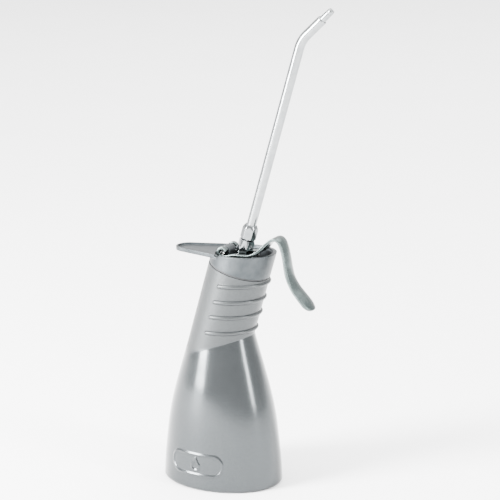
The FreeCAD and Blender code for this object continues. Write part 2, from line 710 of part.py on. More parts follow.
def make_nozzle():
    """Nozzle pushed into the end of the tube: its own frame looks along the outlet."""
    tip_foot = "nozzle_out - 0.9"
    spigot = cylinder("tube_bore", "-nozzle_in", "0")
    nose = cylinder("nozzle_radius", "0", tip_foot)
    tip = cone("nozzle_radius", "nozzle_radius - 0.7", tip_foot, "nozzle_out")
    groove = cut(cylinder("nozzle_radius + 1", "nozzle_out - 2.4", "nozzle_out - 1.9"),
                 [cylinder("nozzle_radius - 0.3", "0", "nozzle_out + 1")])
    outlet = cylinder("nozzle_bore", "-( nozzle_in + 1 )", "nozzle_out + 1")
    nozzle = cut(fuse([spigot, nose, tip]), [outlet, groove])
    turn = math.radians(size["bend_angle"])
    end = V(math.sin(turn), 0, math.cos(turn)) * size["bend_arm"] + V(0, 0, size["bend_height"])
    upright = FreeCAD.Placement(V(size["axis_offset"], 0, size["top_height"]),
                                FreeCAD.Rotation(V(0, 1, 0), size["neck_tilt"]))
    nozzle.Placement = upright * FreeCAD.Placement(end, FreeCAD.Rotation(V(0, 1, 0), size["bend_angle"]))
    return finish(nozzle, "spout_nozzle")


# ---------------------------------------------------------------- pump inside the container
def leaning(label, solid, tools=()):
    if tools:
        part = cut(solid, list(tools))
    else:
        part = doc.addObject("Part::Refine", "whole")
        part.Source = solid
    lean(part)
    return finish(part, label)


def make_guide_and_seal():
    guide_top = "-( pocket_floor + 0.1 )"
    guide_low = "-( pocket_floor + %g )" % GLAND_DEPTH
    leaning("rod_guide", cylinder("%g - 0.05" % GLAND_RADIUS, guide_low, guide_top),
            [cylinder("rod_radius + rod_play", "-%g" % THROUGH, "0")])
    ring = doc.addObject("Part::Torus", "seal_ring")
    bind(ring, "Radius1", "rod_radius + 1")
    bind(ring, "Radius2", "0.95")
    bind(ring, "Placement.Base.z", "-( pocket_floor + %g )" % (GLAND_DEPTH + SEAL_DEPTH / 2))
    leaning("rod_seal", cut(ring, [cylinder("rod_radius + 0.02", "-%g" % THROUGH, "0")]))


def make_barrel_and_foot_valve():
    leaning("barrel_washer", cylinder("barrel_radius - 0.1", "-barrel_top", "washer_thick - barrel_top"),
            [cylinder("barrel_bore", "-%g" % THROUGH, "0")])
    leaning("pump_barrel", cylinder("barrel_radius - 0.05", "-barrel_end", "-barrel_top"),
            [cylinder("barrel_bore", "-( barrel_end + 1 )", "0")])
    chamber_floor = "inlet_ball - barrel_end"
    valve = fuse([
        cylinder("barrel_bore", "-barrel_end", "valve_plug - barrel_end"),
        cylinder("barrel_radius - 0.05", "-( barrel_end + valve_flange )", "-barrel_end"),
        cylinder("dip_bore", "-( barrel_end + valve_barb )", "-( barrel_end + valve_flange )"),
    ])
    leaning("foot_valve", valve, [
        cylinder("inlet_hole", "-( barrel_end + valve_barb + 1 )", "0"),
        cone("inlet_hole", "inlet_radius", "0.5 - barrel_end", chamber_floor),
        cylinder("inlet_radius", chamber_floor, "valve_plug + 1 - barrel_end"),
    ])
    leaning("suction_ball", ball("inlet_ball", "2.31 - barrel_end"))
    cage_foot = "valve_plug + 1 - barrel_end"
    leaning("ball_cage", cylinder("barrel_bore - 0.1", cage_foot, cage_foot + " + 0.8"),
            [cylinder("1.2", "-( barrel_end + 1 )", "0")])


def make_dip_tube_and_strainer():
    """Hose from the foot valve to the floor, with a slotted cap on its end."""
    cap_end = "-( dip_end + 4 )"
    cap_top = "6 - dip_end"
    leaning("dip_tube", cylinder("dip_radius", "-dip_end", "-( barrel_end + valve_flange + 0.1 )"),
            [cylinder("dip_bore", "-( dip_end + 1 )", "0")])
    leaning("inlet_strainer", cylinder("dip_radius + 0.9", cap_end, cap_top), [
        cylinder("dip_radius", "-dip_end", cap_top + " + 1"),
        cylinder("dip_radius - 0.8", "-( dip_end + 3 )", cap_top + " + 1"),
        cross_cylinder("0.9", "0", "-( dip_end + 2 )", "-2 * dip_radius", "2 * dip_radius"),
    ])


def make_piston():
    """Hollow rod with the piston and its seal held by a nut."""
    rod = fuse([cylinder("rod_radius", "-piston_top", "-rod_top"),
                cylinder("rod_neck", "-rod_end", "-piston_top")])
    leaning("piston_rod", rod, [cylinder("rod_bore", "-( rod_end + 1 )", "0")])
    groove = cut(cylinder("barrel_radius", "-groove_end", "-groove_top"),
                 [cylinder("groove_radius", "-rod_end", "0")])
    leaning("piston", cylinder("barrel_bore - piston_play", "-piston_end", "-piston_top"),
            [cylinder("rod_neck", "-rod_end", "0"), groove])
    leaning("piston_seal", cylinder("barrel_bore - 0.03", "0.1 - groove_end", "-( groove_top + 0.1 )"),
            [cylinder("groove_radius", "-rod_end", "0")])
    leaning("piston_nut", hexagon("7", "1 - rod_end", "-( piston_end + 0.1 )"),
            [cylinder("rod_neck", "-( rod_end + 1 )", "0")])


def make_valve_parts_and_springs():
    """Outlet ball, its spring and plug, and the spring that pushes the piston back up."""
    plug_foot = "stem_top - 2"
    leaning("discharge_ball", ball("outlet_ball", "2.24"))
    leaning("spring_plug", cylinder("outlet_radius", plug_foot, "stem_top - 0.2"),
            [cylinder("0.7", "0", "stem_top + 1")])
    coil("return_spring", wire=0.5, mean_radius=5.55, low=-48.1, high=-27.1, turns=7)
    coil("discharge_spring", wire=0.2, mean_radius=1.3, low=3.5, high=10.3, turns=6)


# ---------------------------------------------------------------- build, check and write
make_container()
make_neck_ring()
make_gasket()
make_head()
make_pivot_pin()
make_lever()
make_rivet()
make_housing()
make_studs()
make_union_nut()
make_ferrule()
make_spout_tube()
make_nozzle()
make_guide_and_seal()
make_barrel_and_foot_valve()
make_dip_tube_and_strainer()
make_piston()
make_valve_parts_and_springs()
doc.recompute()

for obj in doc.Objects:
    if "Invalid" in obj.State or "Error" in obj.State:
        raise RuntimeError("%s (%s) did not build: %s" % (obj.Name, obj.Label, obj.State))

os.makedirs(OUT, exist_ok=True)
for obj in finished:
    shape = obj.Shape
    if shape.isNull() or not shape.isValid():
        raise RuntimeError(obj.Label + " has no valid shape")
    shape.exportStep(os.path.join(OUT, obj.Label + ".step"))
    box = shape.BoundBox
    print("%-18s solids %d  volume %9.1f" % (obj.Label, len(shape.Solids), shape.Volume),
          "x %7.2f %7.2f  y %6.2f %6.2f  z %7.2f %7.2f" % (
              box.XMin, box.XMax, box.YMin, box.YMax, box.ZMin, box.ZMax))
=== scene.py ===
"""Hand pump oiler: the looks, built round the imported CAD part.

Lengths in the shape functions are in millimetres and are scaled to metres when a mesh is made.
"""

import json
import math

import bmesh
import bpy
import numpy as np
from mathutils import Matrix, Vector

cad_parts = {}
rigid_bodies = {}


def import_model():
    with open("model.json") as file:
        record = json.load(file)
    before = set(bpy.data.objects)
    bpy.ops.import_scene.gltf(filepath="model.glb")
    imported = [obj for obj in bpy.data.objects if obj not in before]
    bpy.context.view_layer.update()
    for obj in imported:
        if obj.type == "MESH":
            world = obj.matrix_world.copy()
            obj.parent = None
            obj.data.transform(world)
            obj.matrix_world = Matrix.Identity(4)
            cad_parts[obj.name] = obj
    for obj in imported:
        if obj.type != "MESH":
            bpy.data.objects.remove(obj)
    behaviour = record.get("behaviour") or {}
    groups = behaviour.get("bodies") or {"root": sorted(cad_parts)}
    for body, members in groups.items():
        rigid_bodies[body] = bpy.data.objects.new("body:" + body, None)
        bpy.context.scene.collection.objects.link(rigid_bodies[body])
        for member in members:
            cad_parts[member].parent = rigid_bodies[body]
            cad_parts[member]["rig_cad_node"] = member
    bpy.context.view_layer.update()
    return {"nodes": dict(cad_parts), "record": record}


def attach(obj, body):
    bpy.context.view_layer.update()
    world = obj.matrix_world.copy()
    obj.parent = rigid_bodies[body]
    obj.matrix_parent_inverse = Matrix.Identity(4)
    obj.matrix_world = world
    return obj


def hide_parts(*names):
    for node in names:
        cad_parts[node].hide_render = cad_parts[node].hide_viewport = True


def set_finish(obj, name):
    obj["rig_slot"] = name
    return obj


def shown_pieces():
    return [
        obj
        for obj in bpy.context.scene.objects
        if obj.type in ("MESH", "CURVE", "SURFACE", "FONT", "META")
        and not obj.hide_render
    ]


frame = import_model()

MM = 0.001
# The pump axis leans towards +X. Its top point is level with the lever's pivot pin.
TILT = math.radians(15.78)
TOP_HEIGHT = 133.4
AXIS_OFFSET = 13.3
AXIS_TOP = np.array([AXIS_OFFSET, 0.0, TOP_HEIGHT])
AXIS_UP = np.array([math.sin(TILT), 0.0, math.cos(TILT)])
NECK_RADIUS = 17.5
SEAM_DEPTH = 10.4

# Outlines of turned parts are (radius, height along the pump axis); 0 is the top point, down is negative.
PUMP_FRAME = Matrix.Translation(Vector(AXIS_TOP) * MM) @ Matrix.Rotation(TILT, 4, "Y")


# ---------------------------------------------------------------- mesh helpers
NO_LIMIT = 1e9


def mesh_object(name, points, faces, body, slot, replaces=(), place=None, smooth_angle=35):
    """New piece from points in millimetres: smooth shaded, riding on its body."""
    mesh = bpy.data.meshes.new(name)
    mesh.from_pydata([tuple(p) for p in np.asarray(points) * MM], [], faces)
    if place is not None:
        mesh.transform(place)
    mesh.validate()
    tidy = bmesh.new()
    tidy.from_mesh(mesh)
    bmesh.ops.remove_doubles(tidy, verts=tidy.verts, dist=1e-7)
    bmesh.ops.recalc_face_normals(tidy, faces=tidy.faces)
    tidy.to_mesh(mesh)
    tidy.free()
    mesh.shade_smooth()
    mesh.set_sharp_from_angle(angle=math.radians(smooth_angle))
    return add_piece(name, mesh, body, slot, replaces)


def add_piece(name, mesh, body, slot, replaces):
    """Object for a mesh, riding on its body and shown in place of the CAD nodes that it replaces."""
    piece = bpy.data.objects.new(name, mesh)
    bpy.context.scene.collection.objects.link(piece)
    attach(piece, body)
    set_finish(piece, slot)
    if replaces:
        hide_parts(*replaces)
    return piece


def rounded(profile, radius, steps=4):
    """Closed (radius, height) outline with its corners rounded."""
    result = []
    count = len(profile)
    for i in range(count):
        before = np.array(profile[i - 1], float)
        corner = np.array(profile[i], float)
        after = np.array(profile[(i + 1) % count], float)
        into, out = before - corner, after - corner
        reach = min(radius, np.linalg.norm(into) * 0.45, np.linalg.norm(out) * 0.45)
        start = corner + into / np.linalg.norm(into) * reach
        end = corner + out / np.linalg.norm(out) * reach
        for step in range(steps + 1):
            at = step / steps
            result.append((1 - at) ** 2 * start + 2 * at * (1 - at) * corner + at ** 2 * end)
    return result


def turned(name, profile, body, slot, replaces=(), place=PUMP_FRAME, columns=72, flats=None, turn=0.0,
           smooth_angle=35):
    """Turned part from a closed outline. With flats, no point stands outside a hexagon that wide."""
    angles = np.arange(columns) * 2 * math.pi / columns
    limit = np.full(columns, NO_LIMIT)
    if flats:
        sector = math.pi / 3
        limit = flats / 2 / np.cos((angles - turn + sector / 2) % sector - sector / 2)
    points = []
    for radius, height in profile:
        reach = np.minimum(radius, limit)
        points += list(zip(reach * np.cos(angles), reach * np.sin(angles), np.full(columns, height)))
    return mesh_object(name, points, ring_faces(len(profile), columns, closed=True), body, slot, replaces,
                       place, smooth_angle)


def ring_faces(rings, columns, closed=False):
    """Quads between neighbouring rings of points; closed joins the last ring to the first."""
    faces = []
    for ring in range(rings if closed else rings - 1):
        low, high = ring * columns, (ring + 1) % rings * columns
        for column in range(columns):
            after = (column + 1) % columns
            faces.append((low + column, low + after, high + after, high + column))
    return faces


def tube_outline(outer, inner, low, high, round_off):
    """Outline of a plain tube with rounded corners."""
    return rounded([(inner, low), (outer, low), (outer, high), (inner, high)], round_off)


def along_y(x, z):
    """Place of a pin that lies along Y."""
    return Matrix.Translation(Vector((x, 0, z)) * MM) @ Matrix.Rotation(-math.pi / 2, 4, "X")


def refined(node, name, body, slot, voxel, passes):
    """Copy of a CAD node remeshed finely, its edges eased like a casting's."""
    source = frame["nodes"][node]
    work = bpy.data.objects.new(name + "_work", source.data.copy())
    bpy.context.scene.collection.objects.link(work)
    remesh = work.modifiers.new("remesh", "REMESH")
    remesh.mode = "VOXEL"
    remesh.voxel_size = voxel * MM
    ease = work.modifiers.new("ease", "SMOOTH")
    ease.factor = 0.5
    ease.iterations = passes
    depsgraph = bpy.context.evaluated_depsgraph_get()
    mesh = bpy.data.meshes.new_from_object(work.evaluated_get(depsgraph))
    bpy.data.objects.remove(work)
    mesh.materials.clear()
    mesh.shade_smooth()
    mesh.name = name
    add_piece(name, mesh, body, slot, [node])


# ---------------------------------------------------------------- container
# Height, half length in X, half width in Y and middle in X of the body's oval sections.
BODY_SECTIONS = np.array([
    (0.0, 34.9, 27.6, 0.0), (12.0, 34.2, 27.0, 0.0), (23.0, 33.1, 26.3, 0.0), (34.0, 31.8, 25.5, 0.0),
    (45.0, 29.8, 24.3, 0.0), (55.0, 27.3, 22.8, 0.0), (66.0, 24.2, 20.6, 0.0), (77.0, 20.9, 18.3, 0.0),
    (87.0, 17.8, 15.8, 0.3), (92.0, 16.2, 14.3, 0.6), (110.0, 10.0, 9.0, 3.0),
])
NECK_FOOT = 65.0        # depth along the pump axis where the neck cylinder ends inside the body
SLEEVE_LOWEST = 70.0    # the sleeve's finish never reaches below this height
RIB_HEIGHTS = (116.6, 107.4, 98.6, 89.4)
RIB_RADIUS = 1.15
RIB_SINK = 0.05
RIB_END = math.radians(98)
BASE_ROUND = 2.0
CREASE_BLEND = 0.3
RIB_BLEND = 0.1
WALL = 1.6
NECK_WALL = 2.4
CONTAINER_COLUMNS = 480
# Where the rings of the container change from square to the pump axis to level, and their spacing.
RINGS_LEVEL_AT = 24.0
NECK_RINGS_END = 56.0
NECK_RING_STEP = 0.26
BODY_RING_STEP = 0.5
INSIDE_FLOOR = 3.2
# Share of the foot ring's size and height of each ring of the underside, from the standing edge inwards.
BASE_RINGS = [(0.96, 0.0), (0.90, 0.0), (0.87, 0.35), (0.85, 0.9), (0.80, 1.0), (0.4, 1.05), (0.001, 1.05)]


def curve_through(heights, values, at):
    """Smooth curve through the values (cubic Hermite with centred slopes)."""
    slopes = np.gradient(values, heights)
    index = np.clip(np.searchsorted(heights, at) - 1, 0, len(heights) - 2)
    span = heights[index + 1] - heights[index]
    t = np.clip((at - heights[index]) / span, 0, 1)
    blend_a = (1 + 2 * t) * (1 - t) ** 2
    blend_b = t * (1 - t) ** 2
    blend_c = t * t * (3 - 2 * t)
    blend_d = t * t * (t - 1)
    return (blend_a * values[index] + blend_b * span * slopes[index]
            + blend_c * values[index + 1] + blend_d * span * slopes[index + 1])


def soft_union(one, other, reach):
    """Smooth minimum of two signed distances."""
    h = np.clip(0.5 + 0.5 * (other - one) / reach, 0, 1)
    return other * (1 - h) + one * h - reach * h * (1 - h)


def body_distance(x, y, z):
    """Signed distance, near enough, to the oval lower body."""
    heights = BODY_SECTIONS[:, 0]
    half_x = curve_through(heights, BODY_SECTIONS[:, 1], z)
    half_y = curve_through(heights, BODY_SECTIONS[:, 2], z)
    middle = curve_through(heights, BODY_SECTIONS[:, 3], z)
    below = np.clip(BASE_ROUND - z, 0, BASE_ROUND)
    inset = BASE_ROUND - np.sqrt(np.maximum(BASE_ROUND ** 2 - below ** 2, 0))
    half_x = half_x - inset
    half_y = half_y - inset
    reach = np.sqrt(((x - middle) / half_x) ** 2 + (y / half_y) ** 2)
    return (reach - 1) * (half_x * half_y) / np.sqrt(half_x * half_y)


def neck_distance(x, y, z):
    """Signed distance to the leaning neck, and the angle round it from the +X side."""
    along = (x - AXIS_TOP[0]) * AXIS_UP[0] + (z - AXIS_TOP[2]) * AXIS_UP[2]
    across = (x - AXIS_TOP[0]) * AXIS_UP[2] - (z - AXIS_TOP[2]) * AXIS_UP[0]
    return np.maximum(np.hypot(across, y) - NECK_RADIUS, -NECK_FOOT - along), np.arctan2(y, across)


def rib_distance(x, y, z):
    """Distance to the level grip ribs, which run round the front of the neck and end in a round."""
    neck, angle = neck_distance(x, y, z)
    beyond = NECK_RADIUS * np.maximum(np.abs(angle) - RIB_END, 0)
    nearest = np.full(np.shape(x), 1e3)
    for height in RIB_HEIGHTS:
        nearest = np.minimum(nearest, np.sqrt((neck + RIB_SINK) ** 2 + (z - height) ** 2 + beyond ** 2))
    return nearest - RIB_RADIUS


def outer_distance(x, y, z):
    """Signed distance to the outside of the container: body, neck and ribs."""
    smooth = soft_union(body_distance(x, y, z), neck_distance(x, y, z)[0], CREASE_BLEND)
    return soft_union(smooth, rib_distance(x, y, z), RIB_BLEND)


def inner_distance(x, y, z):
    """Signed distance to the inside of the container's wall."""
    neck = neck_distance(x, y, z)[0] + NECK_WALL - WALL
    return soft_union(body_distance(x, y, z), neck, CREASE_BLEND) + WALL


def surface_rings(distance, centres):
    """For each centre (x, z, slope of its level) the ring of points where the distance is zero.

    The zero is found by halving, between the centre and a reach that is surely outside.
    """
    farthest, halvings = 45.0, 34
    angles = np.arange(CONTAINER_COLUMNS) * 2 * math.pi / CONTAINER_COLUMNS
    rings = []
    for middle_x, height, slope in centres:
        low, high = np.zeros(CONTAINER_COLUMNS), np.full(CONTAINER_COLUMNS, farthest)
        for _ in range(halvings):
            at = (low + high) / 2
            x = middle_x + at * np.cos(angles)
            z = height + slope * at * np.cos(angles)
            inside = distance(x, at * np.sin(angles), z) < 0
            low, high = np.where(inside, at, low), np.where(inside, high, at)
        x = middle_x + low * np.cos(angles)
        rings.append(np.stack([x, low * np.sin(angles), height + slope * low * np.cos(angles)], 1))
    return rings


def level_centres(first_depth, step, bottom, body_step):
    """Levels from the neck's rim, square to the pump axis, down to the level bottom."""
    centres = []
    depth = first_depth
    while depth < NECK_RINGS_END:
        ease = np.clip((RINGS_LEVEL_AT - depth) / (RINGS_LEVEL_AT - SEAM_DEPTH), 0, 1)
        ease = ease * ease * (3 - 2 * ease)
        point = AXIS_TOP - AXIS_UP * depth
        centres.append((point[0], point[2], -math.tan(TILT) * ease))
        depth += step
    last = AXIS_TOP - AXIS_UP * depth
    rows = int((last[2] - bottom) / body_step)
    for row in range(rows + 1):
        height = last[2] + (bottom - last[2]) * row / rows
        centres.append((last[0] * (height - bottom) / (last[2] - bottom), height, 0.0))
    return centres


# Badge on the front of the base: middle and half size in X and Z, and its raised lines.
BADGE_CENTRE = (-4.5, 15.0)
BADGE_HALF = (16.5, 6.3)
BADGE_CORNER = 6.0
BADGE_RAISE = 0.45
BADGE_STROKE = 0.55
# The oil drop: a round bowl with a point on top.
BOWL_RADIUS = 2.9
BOWL_DROP = 1.0
POINT_TOP = 5.0
POINT_SLOPE = (0.9, 0.43)
POINT_FOOT = 0.2


def soft_step(value, width):
    """1 well below zero, 0 well above it, and a straight slope between."""
    return np.clip(0.5 - value / width, 0, 1)


def raised_line(distance, edge):
    """Height of a raised line just inside the zero of a distance."""
    return BADGE_RAISE * soft_step(np.abs(distance + BADGE_STROKE) - BADGE_STROKE, edge)


def badge_raise(points):
    """Relief on the front of the base: a plain oblong outline with one oil drop in it."""
    across = points[:, 0] - BADGE_CENTRE[0]
    up = points[:, 2] - BADGE_CENTRE[1]
    side_x = np.abs(across) - (BADGE_HALF[0] - BADGE_CORNER)
    side_z = np.abs(up) - (BADGE_HALF[1] - BADGE_CORNER)
    corner = np.hypot(np.maximum(side_x, 0), np.maximum(side_z, 0))
    outline = corner + np.minimum(np.maximum(side_x, side_z), 0) - BADGE_CORNER
    bowl = np.hypot(across, up + BOWL_DROP) - BOWL_RADIUS
    sides = np.abs(across) * POINT_SLOPE[0] + (up - POINT_TOP) * POINT_SLOPE[1]
    drop = np.minimum(bowl, np.maximum(sides, -(up + POINT_FOOT)))
    lift = np.maximum(raised_line(outline, 0.7), raised_line(drop, 0.6))
    return np.where(points[:, 1] < 0, lift, 0.0)


def container_outside():
    """Rings of the outside from the rim to the standing edge, with the badge raised on them."""
    levels = level_centres(SEAM_DEPTH, NECK_RING_STEP, BASE_ROUND, BODY_RING_STEP)
    rings = surface_rings(outer_distance, levels)
    round_steps = 6
    lowest = 0.001
    for step in range(1, round_steps + 1):
        turn = math.pi / 2 * step / round_steps
        height = max(BASE_ROUND * (1 - math.sin(turn)), lowest)
        rings += surface_rings(outer_distance, [(0.0, height, 0.0)])
    rings = np.array(rings)
    flat = rings.reshape(-1, 3)
    outward = flat * np.array([1.0, 1.6, 0.0])
    outward /= np.linalg.norm(outward, axis=1)[:, None]
    return (flat + outward * badge_raise(flat)[:, None]).reshape(rings.shape)


def make_container():
    """Closed shell from the inside floor, up the inside wall, over the rim and down the outside."""
    outer = container_outside()
    rim = outer[0]
    base = [shrunk(outer[-1], share, height) for share, height in BASE_RINGS]
    inner = surface_rings(inner_distance, level_centres(SEAM_DEPTH + 14.0, 2.0, INSIDE_FLOOR, 2.5))
    inside_floor = [shrunk(inner[-1], share, INSIDE_FLOOR - 1.0) for share in (0.001, 0.5, 0.93)]
    rings = inside_floor + inner[::-1]
    for inset, drop in ((2.1, 13.5), (2.1, 7.0), (2.1, 0.0), (1.9, 0.0), (0.15, 0.0), (0.0, 0.12)):
        rings.append(rim_ring(rim, inset, drop))
    rings += list(outer[1:]) + base
    points = np.concatenate(rings)
    shell = mesh_object("container_shell", points, ring_faces(len(rings), CONTAINER_COLUMNS), "container",
                        "container_shell", ["container"], smooth_angle=50)
    mark_sleeve(shell)


def shrunk(ring, share, height):
    """A ring drawn in towards the middle of the container, at the given height."""
    return ring * np.array([share, share, 0]) + np.array([0, 0, height])


def mark_sleeve(shell):
    """Attribute that is 1 on the ribbed neck sleeve and 0 on the body, for their two finishes."""
    count = len(shell.data.vertices)
    flat = np.zeros(count * 3, np.float32)
    shell.data.vertices.foreach_get("co", flat)
    x, y, z = flat.reshape(-1, 3).T.astype(float) / MM
    nearer = body_distance(x, y, z) - neck_distance(x, y, z)[0]
    share = np.clip(0.5 + nearer / 0.4, 0, 1) * np.clip((z - SLEEVE_LOWEST) / 2, 0, 1)
    mark = shell.data.attributes.new("sleeve", "FLOAT", "POINT")
    mark.data.foreach_set("value", share.astype(np.float32))


def rim_ring(ring, inset, drop):
    """The neck's rim ring drawn in towards the pump axis and down along it."""
    along = (ring - AXIS_TOP) @ AXIS_UP
    foot = AXIS_TOP + along[:, None] * AXIS_UP
    outward = ring - foot
    outward /= np.linalg.norm(outward, axis=1)[:, None]
    return ring - outward * inset - AXIS_UP * drop


# ---------------------------------------------------------------- turned pieces
AXIS_HOLE = 0.001       # outlines that reach the axis stop this short of it
PIVOT = np.array([3.3, 133.4])
RIVET_PLACE = (21.3, 0.0, 133.5)
RIVET_LEAN = math.radians(-20)
HOUSING_TURN = math.radians(36)
NUT_TURN = math.radians(46)


def threads(radius, depth, low, high, pitch):
    """Outline of a row of thread ridges between two heights, lowest first."""
    ridge = ((depth, 0.1), (0.0, 0.4), (0.0, 0.55), (depth, 0.9))
    points = []
    height = low
    while height < high - pitch / 2:
        points += [(radius - inward, height + share * pitch) for inward, share in ridge]
        height += pitch
    return points


def make_container_ring():
    """Ring in the neck with the thread that the head screws into."""
    outline = [(15.38, -10.55), (15.38, -23.35)] + threads(13.9, 0.7, -23.3, -10.7, 1.5)
    turned("thread_ring_brass", outline, "container", "ring_brass", ["thread_ring"], columns=96)


def make_gasket():
    outline = tube_outline(17.1, 14.0, -10.38, -9.62, 0.3)
    turned("gasket_ring", outline, "head", "black_rubber", ["head_gasket"], columns=120)


def make_barrel():
    """Pump barrel with the foot valve pressed into its lower end."""
    outline = tube_outline(8.85, 7.0, -54.95, -18.0, 0.4)
    turned("barrel_tube", outline, "head", "barrel_steel", ["pump_barrel"], columns=96)
    stem = [(1.0, -66.0), (2.1, -66.0), (2.4, -65.6)]
    for barb in (-63.8, -61.8, -59.8):
        stem += [(2.4, barb), (2.1, barb + 0.2)]
    stem = stem[:-1] + [(2.4, -57.6)]
    flange = [(8.5, -57.5), (8.85, -57.1), (8.85, -55.3), (8.5, -55.0)]
    seat = [(7.0, -55.0), (7.0, -50.2), (6.8, -50.0), (2.7, -50.0), (2.7, -53.0), (1.0, -54.5)]
    turned("foot_valve_body", stem + flange + seat, "head", "turned_brass", ["foot_valve"], columns=96)


def make_dip_tube():
    """Suction tube and the strainer cap on its foot."""
    outline = tube_outline(3.3, 2.4, -127.0, -57.6, 0.3)
    turned("dip_hose", outline, "head", "clear_tube", ["dip_tube"], columns=48)
    cap = [(2.5, -121.0), (3.3, -121.0), (4.2, -121.3), (4.2, -130.5), (0.9, -131.0), (0.9, -130.2),
           (2.5, -130.0)]
    turned("strainer_cap", rounded(cap, 0.3), "head", "strainer_plastic", ["inlet_strainer"], columns=48)


def make_rod_guide():
    outline = [(2.55, -13.0), (5.95, -13.0), (5.95, -8.1), (5.6, -7.7), (3.1, -7.7), (2.55, -8.1)]
    turned("guide_bush", outline, "head", "turned_brass", ["rod_guide"], columns=72)


def make_pivot_pin():
    """Pin through the lever's eyes, with a small hollow in each end."""
    half = [(1.5, 7.1), (1.2, 7.1), (0.95, 6.1), (AXIS_HOLE, 6.0)]
    outline = [(radius, -along) for radius, along in reversed(half)] + half
    turned("pivot_pin_bright", rounded(outline, 0.15), "head", "pin_steel", ["pivot_pin"],
           place=along_y(PIVOT[0], PIVOT[1]), columns=48)


def make_trunnion_studs():
    """The two studs beside the valve housing that the lever pushes."""
    place = PUMP_FRAME @ Matrix.Translation((0, 0, -3.3 * MM)) @ Matrix.Rotation(-math.pi / 2, 4, "X")
    for letter, side, replaces in (("a", -1, ["trunnion_studs"]), ("b", 1, [])):
        outer_end, inner_end = -8.0 * side, -3.4 * side
        outline = [(AXIS_HOLE, outer_end), (1.2, outer_end), (1.2, inner_end), (AXIS_HOLE, inner_end)]
        turned("trunnion_stud_" + letter, rounded(outline, 0.3), "piston", "pin_steel", replaces,
               place=place, columns=40)


def make_rivet():
    """Round-headed rivet in the lever, square to the sheet there."""
    shank = [(AXIS_HOLE, -5.6), (0.9, -5.6), (0.9, 0.0)]
    head = [(1.75, 0.02), (1.72, 0.4), (1.5, 0.85), (1.1, 1.2), (0.6, 1.42), (AXIS_HOLE, 1.5)]
    place = Matrix.Translation(Vector(RIVET_PLACE) * MM) @ Matrix.Rotation(RIVET_LEAN, 4, "Y")
    turned("rivet_round", rounded(shank + head, 0.12), "lever", "pin_steel", ["stop_rivet"],
           place=place, columns=48)


def make_valve_housing():
    """Hexagon housing of the outlet valve, with the thread that the union nut screws on."""
    body = [(2.5, -5.2), (4.3, -5.2), (4.6, -4.9), (4.6, -1.2), (4.45, -1.0), (4.62, -0.7), (4.62, 6.3),
            (4.0, 7.2), (3.2, 7.2)]
    neck = threads(3.15, 0.35, 7.25, 12.3, 0.75)
    bore = [(2.6, 12.4), (1.9, 12.4), (1.9, 1.9), (0.9, 1.0), (0.9, -1.4), (2.5, -1.4)]
    turned("housing_hex", body + neck + bore, "piston", "nut_plate", ["valve_housing"], columns=120,
           flats=8.0, turn=HOUSING_TURN, smooth_angle=28)


def make_union_nut():
    """Hexagon nut with a domed top, which holds the spout."""
    skirt = [(3.2, 7.75), (3.9, 7.75), (4.35, 8.1), (4.5, 8.5), (4.5, 13.2)]
    dome = [(4.42, 13.7), (4.2, 14.3), (3.9, 14.9), (3.5, 15.5), (3.2, 15.95), (2.95, 16.15), (2.75, 16.2)]
    bore = [(2.72, 15.9), (2.72, 14.3), (3.2, 14.3)]
    turned("union_nut_bright", skirt + dome + bore, "piston", "nut_plate", ["union_nut"], columns=120,
           flats=7.8, turn=NUT_TURN, smooth_angle=28)


# ---------------------------------------------------------------- spout
SPOUT_FOOT = 12.8
SPOUT_RADIUS = 2.7
SPOUT_BORE = 1.5
BEND_HEIGHT = 122.5
BEND_RADIUS = 16.0
BEND_ANGLE = math.radians(30.6)
BEND_ARM = 16.7


def spout_path():
    """Points and directions along the spout's mid line, in the pump's upright frame."""
    bend_steps = 24
    tangent = BEND_RADIUS * math.tan(BEND_ANGLE / 2)
    out = np.array([math.sin(BEND_ANGLE), 0, math.cos(BEND_ANGLE)])
    corner = np.array([0, 0, BEND_HEIGHT])
    points = [(np.array([0, 0, h]), 0.0) for h in np.linspace(SPOUT_FOOT, BEND_HEIGHT - tangent, 30)[:-1]]
    centre = np.array([BEND_RADIUS, 0, BEND_HEIGHT - tangent])
    for step in range(bend_steps + 1):
        turn = BEND_ANGLE * step / bend_steps
        points.append((centre + BEND_RADIUS * np.array([-math.cos(turn), 0, math.sin(turn)]), turn))
    points += [(corner + out * reach, BEND_ANGLE) for reach in np.linspace(tangent, BEND_ARM, 6)[1:]]
    return points


def make_spout():
    """Bent tube with a rounded end, from its foot outside to the end and back along the bore."""
    columns = 48
    angles = np.arange(columns) * 2 * math.pi / columns

    def ring(point, turn, radius):
        side = np.array([math.cos(turn), 0, -math.sin(turn)])
        return [point + radius * (math.cos(a) * side + math.sin(a) * np.array([0, 1, 0])) for a in angles]

    path = spout_path()
    end_point, end_turn = path[-1]
    end_direction = np.array([math.sin(end_turn), 0, math.cos(end_turn)])
    rings = [ring(point, turn, SPOUT_RADIUS) for point, turn in path[:-1]]
    wall = SPOUT_RADIUS - SPOUT_BORE
    for back, inward in ((0.6, 0.0), (0.3, 0.04), (0.1, 0.18), (0.0, 0.4), (0.0, wall)):
        rings.append(ring(end_point - end_direction * back, end_turn, SPOUT_RADIUS - inward))
    rings += [ring(point, turn, SPOUT_BORE) for point, turn in reversed(path)]
    points = np.array(rings).reshape(-1, 3)
    mesh_object("spout_pipe", points, ring_faces(len(rings), columns, closed=True), "spout", "spout_plate",
                ["spout_tube"], PUMP_FRAME)
    return end_point


